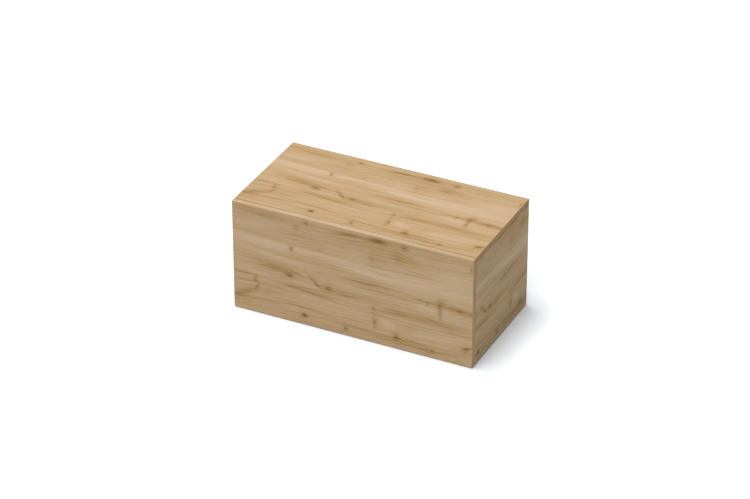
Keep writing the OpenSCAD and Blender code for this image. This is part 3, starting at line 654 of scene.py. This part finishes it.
def felt_paint(colour):
    """Needled felt: a tangle of light and dark fibres, balls of fluff and a soft nap."""

    def draw(sh):
        place = sh.object_place()
        long_way = sh.noise(place, 2.6, 0.35, 0.8, detail=3.0, distortion=1.6)
        cross_way = sh.noise(place, 0.35, 2.6, 0.8, detail=3.0, distortion=1.6)
        tangle = sh.maths("MAXIMUM", long_way, cross_way)
        fluff = sh.between(sh.noise(place, 5, detail=4.0), 0.52, 0.72)
        nap = sh.noise(place, 60, detail=3.0)
        stops = [(0.35, tinted(colour, 0.6)), (0.55, colour), (0.78, tinted(colour, 2.1))]
        tone = sh.ramp(tangle, stops)
        tone = sh.mix(fluff * 0.3, tone, opaque(tinted(colour, 1.7)))
        tone = sh.mix(nap * 0.3, tone, opaque(tinted(colour, 0.75)))
        return {"Base Color": tone, "Roughness": 0.88 + fluff * 0.08,
                "Normal": sh.bump(tangle + fluff * 0.5, 0.35, 0.8)}

    return draw


def tape_paint(colour):
    """Woven binding tape: a fine herringbone of ribs at half a millimetre."""

    def draw(sh):
        x, y, z = sh.separate(sh.object_place())
        rib = sh.maths("SINE", (x + y + z) * (2 * pi / (1.1 * MM)))
        counter = sh.maths("SINE", (x - y + z) * (2 * pi / (1.1 * MM)))
        weave = rib * counter
        dust = sh.noise(sh.object_place(), 12, detail=3.0)
        tone = sh.ramp(weave * 0.5 + 0.5, [(0.0, tinted(colour, 0.6)), (1.0, tinted(colour, 1.5))])
        tone = sh.mix(dust * 0.25, tone, opaque(tinted(colour, 2.2)))
        return {"Base Color": tone, "Roughness": 0.74 + dust * 0.12,
                "Normal": sh.bump(weave, 0.12, 0.8)}

    return draw


def thread_paint(sh):
    """Sewing thread: two plies twisted round each other."""
    x, y, z = sh.separate(sh.object_place())
    plies = sh.maths("SINE", (x + y + z * 2.0) * (2 * pi / (0.8 * MM)))
    tone = sh.ramp(plies * 0.5 + 0.5, [(0.0, (0.30, 0.30, 0.30)), (1.0, (0.52, 0.52, 0.51))])
    return {"Base Color": tone, "Roughness": 0.68 + plies * 0.05, "Normal": sh.bump(plies, 0.06)}


def floor_paint(sh):
    """Plain pale floor with the faintest unevenness."""
    place = sh.object_place()
    worn = sh.noise(place, 400, detail=3.0)
    tone = sh.ramp(worn, [(0.0, (0.775, 0.815, 0.85)), (1.0, (0.79, 0.825, 0.86))])
    return {"Base Color": tone, "Roughness": 0.7 + worn * 0.1}


# ---------------------------------------------------------------- settings


def colour_setting(name, description, default):
    return bpy.props.FloatVectorProperty(
        name=name, description=description, default=default, subtype="COLOR", min=0.0, max=1.0)


def length_setting(name, description, default):
    return bpy.props.FloatProperty(
        name=name, description=description, default=default, unit="LENGTH")


def angle_setting(name, description, degrees):
    return bpy.props.FloatProperty(
        name=name, description=description, default=radians(degrees), subtype="ANGLE")


class DropBoxStage(bpy.types.PropertyGroup):
    """Camera and light."""

    azimuth: angle_setting("Azimuth", "Turn of the camera to the right of the front", 26.04)
    elevation: angle_setting("Elevation", "Height of the camera above the horizon", 31.007)
    distance: bpy.props.FloatProperty(
        name="Distance", description="Distance from the camera to what it looks at",
        default=9.0, min=1.0, unit="LENGTH")
    aim: bpy.props.FloatVectorProperty(
        name="Aim", description="The point that the camera looks at",
        default=(-0.01297, -0.00948, 0.1893), subtype="XYZ", unit="LENGTH")
    lens: bpy.props.FloatProperty(
        name="Focal length", description="Focal length in millimetres on a 36 mm sensor",
        default=151.83, min=10.0)
    key: bpy.props.FloatVectorProperty(
        name="Key light", description="Where the overhead light comes from; its length is its strength",
        default=(-0.13, 0.0, 0.75), subtype="XYZ")
    key_spread: angle_setting(
        "Key spread", "Angle across the overhead light, which softens its shadow", 27)
    fill: bpy.props.FloatVectorProperty(
        name="Fill light", description="Where the front light comes from; its length is its strength",
        default=(0.0, -0.33, 0.52), subtype="XYZ")
    fill_spread: angle_setting("Fill spread", "Angle across the front light", 50)
    sky: bpy.props.FloatProperty(
        name="Sky", description="Strength of the even light from all sides", default=0.22, min=0.0)


class DropBoxOak(bpy.types.PropertyGroup):
    """Oak decor of the boards."""

    colour: colour_setting("Oak colour", "Mean colour of the oak print", (0.408, 0.284, 0.158))
    grain: bpy.props.FloatProperty(
        name="Grain", description="Strength of the fine grain", default=1.0, min=0.0, max=2.0)
    edge: length_setting("Board edge", "Rounding of the edges of the boards without a band", 0.0005)


class DropBoxParts(bpy.types.PropertyGroup):
    """Fittings of metal and plastic."""

    plastic: colour_setting(
        "Black plastic", "Colour of the slot bezel, its frame and the glides", (0.028, 0.028, 0.030))
    latch: colour_setting("Latch plastic", "Colour of the push latches", (0.42, 0.42, 0.43))
    cage: colour_setting(
        "Ball cage plastic", "Colour of the runners' ball cages", (0.70, 0.68, 0.62))
    powder: colour_setting(
        "Powder coat", "Colour of the slot flap and the chute", (0.27, 0.28, 0.30))
    edge: length_setting(
        "Fitting edge", "Rounding of the edges of moulded and pressed fittings", 0.0004)


class DropBoxMat(bpy.types.PropertyGroup):
    """Quilted landing mat in the drawer."""

    felt: colour_setting("Felt", "Colour of the felt", (0.105, 0.11, 0.12))
    tape: colour_setting("Binding", "Colour of the binding tape", (0.045, 0.047, 0.052))
    cells_across: bpy.props.IntProperty(
        name="Cells across", description="Quilted cells along the width", default=8, min=1)
    cells_deep: bpy.props.IntProperty(
        name="Cells deep", description="Quilted cells along the depth", default=4, min=1)
    pressure: bpy.props.FloatProperty(
        name="Filling", description="Pressure of the filling", default=40.0, min=0.0)
    step: length_setting("Mesh step", "About the distance between the points of the cloth", 0.005)
    corner: length_setting("Corner", "Radius of the mat's corners", 0.014)
    stitch: length_setting("Stitch", "Distance from stitch to stitch", 0.007)


# ---------------------------------------------------------------- landing mat


def mat_cloth(low, high, settings):
    """The mat's grid: each point's place, and its distances from the rim and from the nearest seam.

    A rectangular grid is laid between the mat's sides, with a whole number of steps to a quilted cell.
    In each corner square it is pressed into a quarter disc: with p and q from 0 to 1 there, p goes to
    p * sqrt(1 - q * q / 2) and q likewise.
    """
    centre = (np.array(low[:2]) + np.array(high[:2])) / 2
    half = (np.array(high[:2]) - np.array(low[:2])) / 2 - MM
    cells = np.array([settings.cells_across, settings.cells_deep])
    pitch = 2 * half / cells
    count = cells * np.round(pitch / settings.step).astype(int) + 1
    across, deep = [np.linspace(-1, 1, number) for number in count]
    flat = np.stack(np.meshgrid(across, deep, indexing="ij"), -1) * half
    corner = settings.corner
    over = np.clip((np.abs(flat) - (half - corner)) / corner, 0, 1)
    pressed = over * np.sqrt(1 - over[..., ::-1] ** 2 / 2)
    place = np.where(over > 0, np.sign(flat) * (half - corner + corner * pressed), flat)
    rim = np.min(half - np.abs(flat), -1)
    seam = np.min(np.abs((flat + half + pitch / 2) % pitch - pitch / 2), -1)
    return centre, half, count, place, rim, seam


def landing_mat_shape(low, high, settings, simulate):
    """Builds the mat, blows it up between its seams as cloth, and presses the seams in.

    The closed cloth has a flat underside and a top face, joined round the rim. The top lies a pad's
    height above the underside and falls towards it in a quarter circle over the last stretch before
    the rim. A seam is pressed in by its depth times exp(-(distance / reach) ** 2).
    """
    centre, half, count, place, rim, seam = mat_cloth(low, high, settings)
    clearance, pad = 0.2 * MM, 5.2 * MM
    seam_depth, seam_reach, stitch_sink = 1.4 * MM, 2.4 * MM, 0.9 * MM
    bound = rim < 9 * MM
    fall_reach, dome_reach = 8 * MM, 18 * MM
    underside = low[2] + clearance
    room = high[2] - clearance - underside - pad
    fall = np.sqrt(np.clip(1 - (1 - np.clip(rim / fall_reach, 0, 1)) ** 2, 0, 1))
    top = underside + MM + (pad - MM) * fall
    nx, ny = count
    index = np.arange(nx * ny).reshape(nx, ny)
    inner = np.ones((nx, ny), bool)
    inner[0], inner[-1], inner[:, 0], inner[:, -1] = False, False, False, False
    below = np.where(inner, np.cumsum(inner.ravel()).reshape(nx, ny) - 1 + nx * ny, index)
    flat = place.reshape(-1, 2) + centre
    upper = np.column_stack([flat, top.ravel()])
    lower = np.column_stack([flat[inner.ravel()], np.full(inner.sum(), underside)])

    def quads(grid, flip):
        corners = [grid[:-1, :-1], grid[1:, :-1], grid[1:, 1:], grid[:-1, 1:]]
        return np.stack(corners[::-1] if flip else corners, -1).reshape(-1, 4)

    faces = np.concatenate([quads(index, False), quads(below, True)])
    mat = new_piece("landing_mat_felt", np.concatenate([upper, lower]), faces.tolist())
    sewn = seam < 2.6 * MM
    pinned = np.concatenate([(sewn | bound).ravel(), np.ones(len(lower), bool)])
    start = np.concatenate([upper, lower])
    if simulate:
        blow_up(mat, pinned, settings.pressure)
        points = mesh_points(mat)
        moved = points - start
        moved[:, 2] = np.clip(moved[:, 2], 0, room)
        moved[:, :2] = np.clip(moved[:, :2], -MM, MM)
        points = start + moved
    else:
        dome = np.clip(seam / dome_reach, 0, 1)
        points = start.copy()
        points[: nx * ny, 2] += (room * dome * (2 - dome) * ~bound).ravel()
    pressed = seam_depth * np.exp(-((seam / seam_reach) ** 2)) * ~bound
    points[: nx * ny, 2] -= pressed.ravel()
    mat.data.vertices.foreach_set("co", points.astype(np.float32).ravel())
    mat.data.update()
    finer = mat.modifiers.new("finer", "SUBSURF")
    finer.levels = finer.render_levels = 1
    seam_height = underside + pad - stitch_sink
    return mat, centre, half, seam_height, underside


def mesh_points(piece):
    points = np.empty(len(piece.data.vertices) * 3, np.float32)
    piece.data.vertices.foreach_get("co", points)
    return points.reshape(-1, 3).astype(float)


def blow_up(piece, pinned, pressure):
    """Runs Blender's cloth for some frames with the pinned points held, and keeps the result."""
    frames = 20
    group = piece.vertex_groups.new(name="seams")
    group.add(np.flatnonzero(pinned).tolist(), 1.0, "REPLACE")
    cloth = piece.modifiers.new("cloth", "CLOTH")
    cloth.settings.vertex_group_mass = "seams"
    cloth.settings.use_pressure = True
    cloth.settings.uniform_pressure_force = pressure
    cloth.settings.quality = 4
    cloth.settings.tension_stiffness = 12
    cloth.settings.compression_stiffness = 12
    cloth.settings.bending_stiffness = 0.4
    cloth.settings.effector_weights.gravity = 0.0
    cloth.collision_settings.use_collision = False
    scene = bpy.context.scene
    for number in range(1, frames + 1):
        scene.frame_set(number)
    graph = bpy.context.evaluated_depsgraph_get()
    points = np.empty(len(piece.data.vertices) * 3, np.float32)
    piece.evaluated_get(graph).data.vertices.foreach_get("co", points)
    piece.modifiers.remove(cloth)
    piece.vertex_groups.remove(group)
    piece.data.vertices.foreach_set("co", points)
    scene.frame_set(1)


def mat_binding(centre, half, underside, settings):
    """Binding tape round the mat: a flat oval section carried round a rectangle with round corners.

    Section: at angle a, outward = reach * cos(a) with the outer side full and the inner side drawn in,
    and height = rise * sin(a), both raised to a low power, which makes the oval boxy.
    """
    angle = np.arange(20) / 20 * 2 * pi
    reach, rise = 5.0 * MM, 3.0 * MM
    outward = np.sign(np.cos(angle)) * np.abs(np.cos(angle)) ** 0.6 * reach - reach
    upward = np.sign(np.sin(angle)) * np.abs(np.sin(angle)) ** 0.6 * rise + rise
    points, away = rounded_rectangle(half[0] + 0.8 * MM, half[1] + 0.8 * MM, settings.corner)
    flat = centre + points[:, None, :] + away[:, None, :] * outward[None, :, None]
    height = np.broadcast_to(underside + upward, (len(points), len(angle)))
    vertices = np.concatenate([flat, height[..., None]], -1).reshape(-1, 3)
    binding = new_piece("landing_mat_binding", vertices, tube_faces(len(points), len(angle)))
    finer = binding.modifiers.new("finer", "SUBSURF")
    finer.levels = finer.render_levels = 1
    return binding, underside + 2 * rise


def stitch_row(start, end, height, pitch):
    """Places and directions of the stitches of one straight seam."""
    length = np.linalg.norm(end - start)
    count = max(int(length / pitch), 1)
    share = (np.arange(count) + 0.5) / count
    place = start + share[:, None] * (end - start)
    place = np.column_stack([place, np.full(count, height)])
    return place, np.broadcast_to((end - start) / length, (count, 2))


def seam_rows(centre, half, seam_height, tape_top, settings):
    """The rows of stitches along the quilting seams, and then those along the four sides' tape.

    A row that lies at a given place on one axis runs the whole way along the other one, up to the
    tape or, on the tape, up to the round corners.
    """
    rows = []

    def add_row(axis, place, reach, height):
        ends = np.array([centre - reach, centre + reach])
        ends[:, axis] = centre[axis] + place
        rows.append(stitch_row(*ends, height, settings.stitch))

    inset = half - 11 * MM
    for axis, cells in enumerate((settings.cells_across, settings.cells_deep)):
        for share in np.arange(1, cells) / cells * 2 - 1:
            add_row(axis, share * half[axis], inset, seam_height)
    edge = half - 6.5 * MM
    for side in (-1, 1):
        for axis in (Y, X):
            add_row(axis, side * edge[axis], edge - settings.corner, tape_top - 0.5 * MM)
    return rows


def stitches(rows, length, radius):
    """Every stitch is a short thread: round across, and bowed so that both ends dive into the felt.

    Along the stitch the parameter t runs from -1 to 1: the place is t * half the length, the height is
    radius * (1 - 1.6 * t * t), and the thickness is radius * sqrt(1 - t ** 4).
    """
    rings, points = 6, 6
    t = np.linspace(-0.98, 0.98, rings)
    angle = np.arange(points) / points * 2 * pi
    thick = radius * np.sqrt(1 - t**4)
    along = np.broadcast_to((t * length / 2)[:, None], (rings, points))
    side = thick[:, None] * np.cos(angle)
    up = radius * (1 - 1.6 * t[:, None] ** 2) + thick[:, None] * np.sin(angle)
    place = np.concatenate([row[0] for row in rows])
    way = np.concatenate([row[1] for row in rows])
    cross = np.column_stack([-way[:, 1], way[:, 0]])
    flat = (place[:, None, None, :2] + along[None, ..., None] * way[:, None, None]
            + side[None, ..., None] * cross[:, None, None])
    height = place[:, 2][:, None, None] + up[None]
    vertices = np.concatenate([flat, height[..., None]], -1).reshape(-1, 3)
    skin = np.array(tube_faces(rings, points, close_rings=False))[:, ::-1]
    last = (rings - 1) * points
    start_cap = [(points - 1, k + 1, k) for k in range(points - 3, -1, -1)]
    end_cap = [(last, last + k, last + k + 1) for k in range(1, points - 1)]
    shift = np.arange(len(place))[:, None, None] * rings * points
    quads = (skin[None] + shift).reshape(-1, 4).tolist()
    caps = (np.array(start_cap + end_cap)[None] + shift).reshape(-1, 3).tolist()
    return new_piece("landing_mat_stitches", vertices, quads + caps)


# ---------------------------------------------------------------- operators


def add_light(name, direction, spread):
    """A far light; one of length 1 shows a white face turned to it as white.

    Only its direction matters: the lamp itself stands a little way off the box.
    """
    distance = 3.0
    light = bpy.data.lights.new(name, "SUN")
    light.energy = direction.length * pi
    light.angle = spread
    lamp = bpy.data.objects.new(name, light)
    lamp.location = direction.normalized() * distance
    lamp.rotation_mode = "QUATERNION"
    lamp.rotation_quaternion = direction.to_track_quat("Z", "Y")
    bpy.context.scene.collection.objects.link(lamp)


class DROPBOX_OT_stage(bpy.types.Operator):
    """Floor, light and camera"""

    bl_idname = "drop_box.stage"
    bl_label = "Floor, light and camera"

    def execute(self, context):
        scene = context.scene
        stage = scene.drop_box_stage
        reach = 60.0
        corners = [(x * reach, y * reach, 0.0) for x, y in ((-1, -1), (1, -1), (1, 1), (-1, 1))]
        floor = new_piece("floor", corners, [(0, 1, 2, 3)])
        floor.data.materials.append(material("floor", floor_paint))

        world = bpy.data.worlds.new("studio")
        world.use_nodes = True
        sky = world.node_tree.nodes["Background"]
        sky.inputs["Color"].default_value = (1.0, 0.96, 0.94, 1.0)
        sky.inputs["Strength"].default_value = stage.sky
        scene.world = world

        add_light("key", stage.key, stage.key_spread)
        add_light("fill", stage.fill, stage.fill_spread)

        lens = bpy.data.cameras.new("camera")
        lens.lens = stage.lens
        lens.sensor_width = 36.0
        lens.clip_end = 200.0
        camera = bpy.data.objects.new("camera", lens)
        side = Vector((np.sin(stage.azimuth), -np.cos(stage.azimuth), 0.0)) * np.cos(stage.elevation)
        away = side + Vector((0.0, 0.0, np.sin(stage.elevation)))
        camera.location = Vector(stage.aim) + away * stage.distance
        camera.rotation_mode = "QUATERNION"
        camera.rotation_quaternion = away.to_track_quat("Z", "Y")
        scene.collection.objects.link(camera)
        scene.camera = camera
        scene.view_settings.view_transform = "Standard"
        return {"FINISHED"}


class DROPBOX_OT_boards(bpy.types.Operator):
    """Oak print on every board, and edge bands"""

    bl_idname = "drop_box.boards"
    bl_label = "Boards and edge bands"

    def execute(self, context):
        oak = context.scene.drop_box_oak
        group = oak_print(tuple(oak.colour), oak.grain)
        shine = {"Specular IOR Level": 0.04}
        for board in BOARDS:
            finish = material("oak_decor_" + board.node, board.paint(group), shine)
            if board.banded or board.node in SHARP:
                finish_node(board.node, finish)
            else:
                stand_in(softened(board.node, oak.edge / MM), board.node, finish)
        for node, *cut in BANDS:
            finish_node(node, material("oak_edge_" + node, band_paint(group, node, *cut), shine))
        finish_node("drawer_bottom", material("grey_board", hardboard_paint))
        return {"FINISHED"}


class DROPBOX_OT_fasteners(bpy.types.Operator):
    """Dowels, cam locks, bolts, screws, pin and strike plates"""

    bl_idname = "drop_box.fasteners"
    bl_label = "Fasteners"

    def execute(self, context):
        finish_nodes(("carcass_dowels", "drawer_dowels"), material("beech", beech_paint))
        finish_node("cam_locks", material("die_cast_zinc", cast_zinc_paint, {"Metallic": 0.9}))
        plated = material("zinc_plated_steel", plated_steel_paint, {"Metallic": 1.0})
        finish_nodes(nodes_of_slot("zinc_plated_steel"), plated)
        return {"FINISHED"}


class DROPBOX_OT_slot(bpy.types.Operator):
    """Posting slot: bezel, inner frame, flap and chute"""

    bl_idname = "drop_box.slot"
    bl_label = "Posting slot"

    def execute(self, context):
        parts = context.scene.drop_box_parts
        width = parts.edge / MM
        for node in ("slot_bezel", "slot_frame"):
            low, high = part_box(node)
            paint = moulded_paint(tuple(parts.plastic), 0.5, (0.10, 0.10, 0.10), low, high, (X, Z))
            stand_in(softened(node, width * 1.5), node, material("black_plastic_" + node, paint))
        for node in ("slot_flap", "chute"):
            low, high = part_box(node)
            paint = powder_paint(tuple(parts.powder), low, high, (X, Z))
            stand_in(softened(node, width), node, material("grey_paint_" + node, paint))
        return {"FINISHED"}


class DROPBOX_OT_runners(bpy.types.Operator):
    """Ball-bearing runners: members, cages and balls"""

    bl_idname = "drop_box.runners"
    bl_label = "Runners"

    def execute(self, context):
        parts = context.scene.drop_box_parts
        steel = material("runner_steel", runner_steel_paint, {"Metallic": 1.0})
        finish_nodes(nodes_of_slot("runner_steel"), steel, parts.edge / MM)
        cage = material("cage_plastic", moulded_paint(tuple(parts.cage), 0.6, (0.5, 0.47, 0.40)))
        finish_nodes(nodes_of_slot("cage_plastic"), cage)
        ball = material("ball_steel", ball_paint, {"Metallic": 1.0})
        finish_nodes(nodes_of_slot("ball_steel"), ball)
        return {"FINISHED"}


class DROPBOX_OT_latches(bpy.types.Operator):
    """Push latches: housings, plungers and springs"""

    bl_idname = "drop_box.latches"
    bl_label = "Push latches"

    def execute(self, context):
        parts = context.scene.drop_box_parts
        plastic = material("latch_plastic", moulded_paint(tuple(parts.latch), 0.5, (0.6, 0.6, 0.6)))
        finish_nodes(nodes_of_slot("latch_plastic"), plastic, parts.edge / MM)
        wire = material("spring_steel", spring_paint, {"Metallic": 1.0})
        finish_nodes(nodes_of_slot("spring_steel"), wire)
        return {"FINISHED"}


class DROPBOX_OT_glides(bpy.types.Operator):
    """Glides under the box"""

    bl_idname = "drop_box.glides"
    bl_label = "Glides"

    def execute(self, context):
        parts = context.scene.drop_box_parts
        paint = moulded_paint(tuple(parts.plastic), 0.5, (0.12,) * 3)
        plastic = material("black_plastic_glides", paint)
        glides = [node for node in nodes_of_slot("black_plastic") if node.endswith("glide")]
        finish_nodes(glides, plastic, parts.edge / MM)
        return {"FINISHED"}


class DROPBOX_OT_landing_mat(bpy.types.Operator):
    """Quilted felt mat with bound and stitched edges"""

    bl_idname = "drop_box.landing_mat"
    bl_label = "Landing mat"

    def execute(self, context):
        settings = context.scene.drop_box_mat
        low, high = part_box("landing_mat")
        made = landing_mat_shape(low, high, settings, simulate=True)
        mat, centre, half, seam_height, underside = made
        stand_in(mat, "landing_mat", material("grey_felt", felt_paint(tuple(settings.felt)),
                                              {"Sheen Weight": 0.35, "Sheen Roughness": 0.5}))
        binding, tape_top = mat_binding(centre, half, underside, settings)
        tape = material("binding_tape", tape_paint(tuple(settings.tape)), {"Sheen Weight": 0.2})
        rows = seam_rows(centre, half, seam_height, tape_top, settings)
        stitch_length, stitch_radius = settings.stitch * 0.62, 0.45 * MM
        thread = stitches(rows, stitch_length, stitch_radius)
        for piece, finish in ((binding, tape), (thread, material("thread", thread_paint))):
            piece.data.materials.append(finish)
            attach(piece, BODY_OF["landing_mat"])
        return {"FINISHED"}


OPERATORS = (
    DROPBOX_OT_stage, DROPBOX_OT_boards, DROPBOX_OT_fasteners, DROPBOX_OT_slot, DROPBOX_OT_runners,
    DROPBOX_OT_latches, DROPBOX_OT_glides, DROPBOX_OT_landing_mat,
)
SETTINGS = {
    "drop_box_stage": DropBoxStage, "drop_box_oak": DropBoxOak, "drop_box_parts": DropBoxParts,
    "drop_box_mat": DropBoxMat,
}


class DROPBOX_PT_build(bpy.types.Panel):
    """Lists the steps that dress the box"""

    bl_label = "Drop Box"
    bl_idname = "DROPBOX_PT_build"
    bl_space_type = "VIEW_3D"
    bl_region_type = "UI"
    bl_category = "Drop Box"

    def draw(self, context):
        for group in SETTINGS:
            box = self.layout.box()
            for name in getattr(context.scene, group).bl_rna.properties.keys():
                if name not in ("name", "rna_type"):
                    box.prop(getattr(context.scene, group), name)
        for operator in OPERATORS:
            self.layout.operator(operator.bl_idname)


def register():
    for made in (*SETTINGS.values(), *OPERATORS, DROPBOX_PT_build):
        bpy.utils.register_class(made)
    for name, group in SETTINGS.items():
        setattr(bpy.types.Scene, name, bpy.props.PointerProperty(type=group))


def unregister():
    for name in SETTINGS:
        delattr(bpy.types.Scene, name)
    for made in (DROPBOX_PT_build, *OPERATORS, *SETTINGS.values()):
        bpy.utils.unregister_class(made)


def main():
    register()
    for operator in OPERATORS:
        group, name = operator.bl_idname.split(".")
        getattr(getattr(bpy.ops, group), name)()


if __name__ == "__main__":
    main()
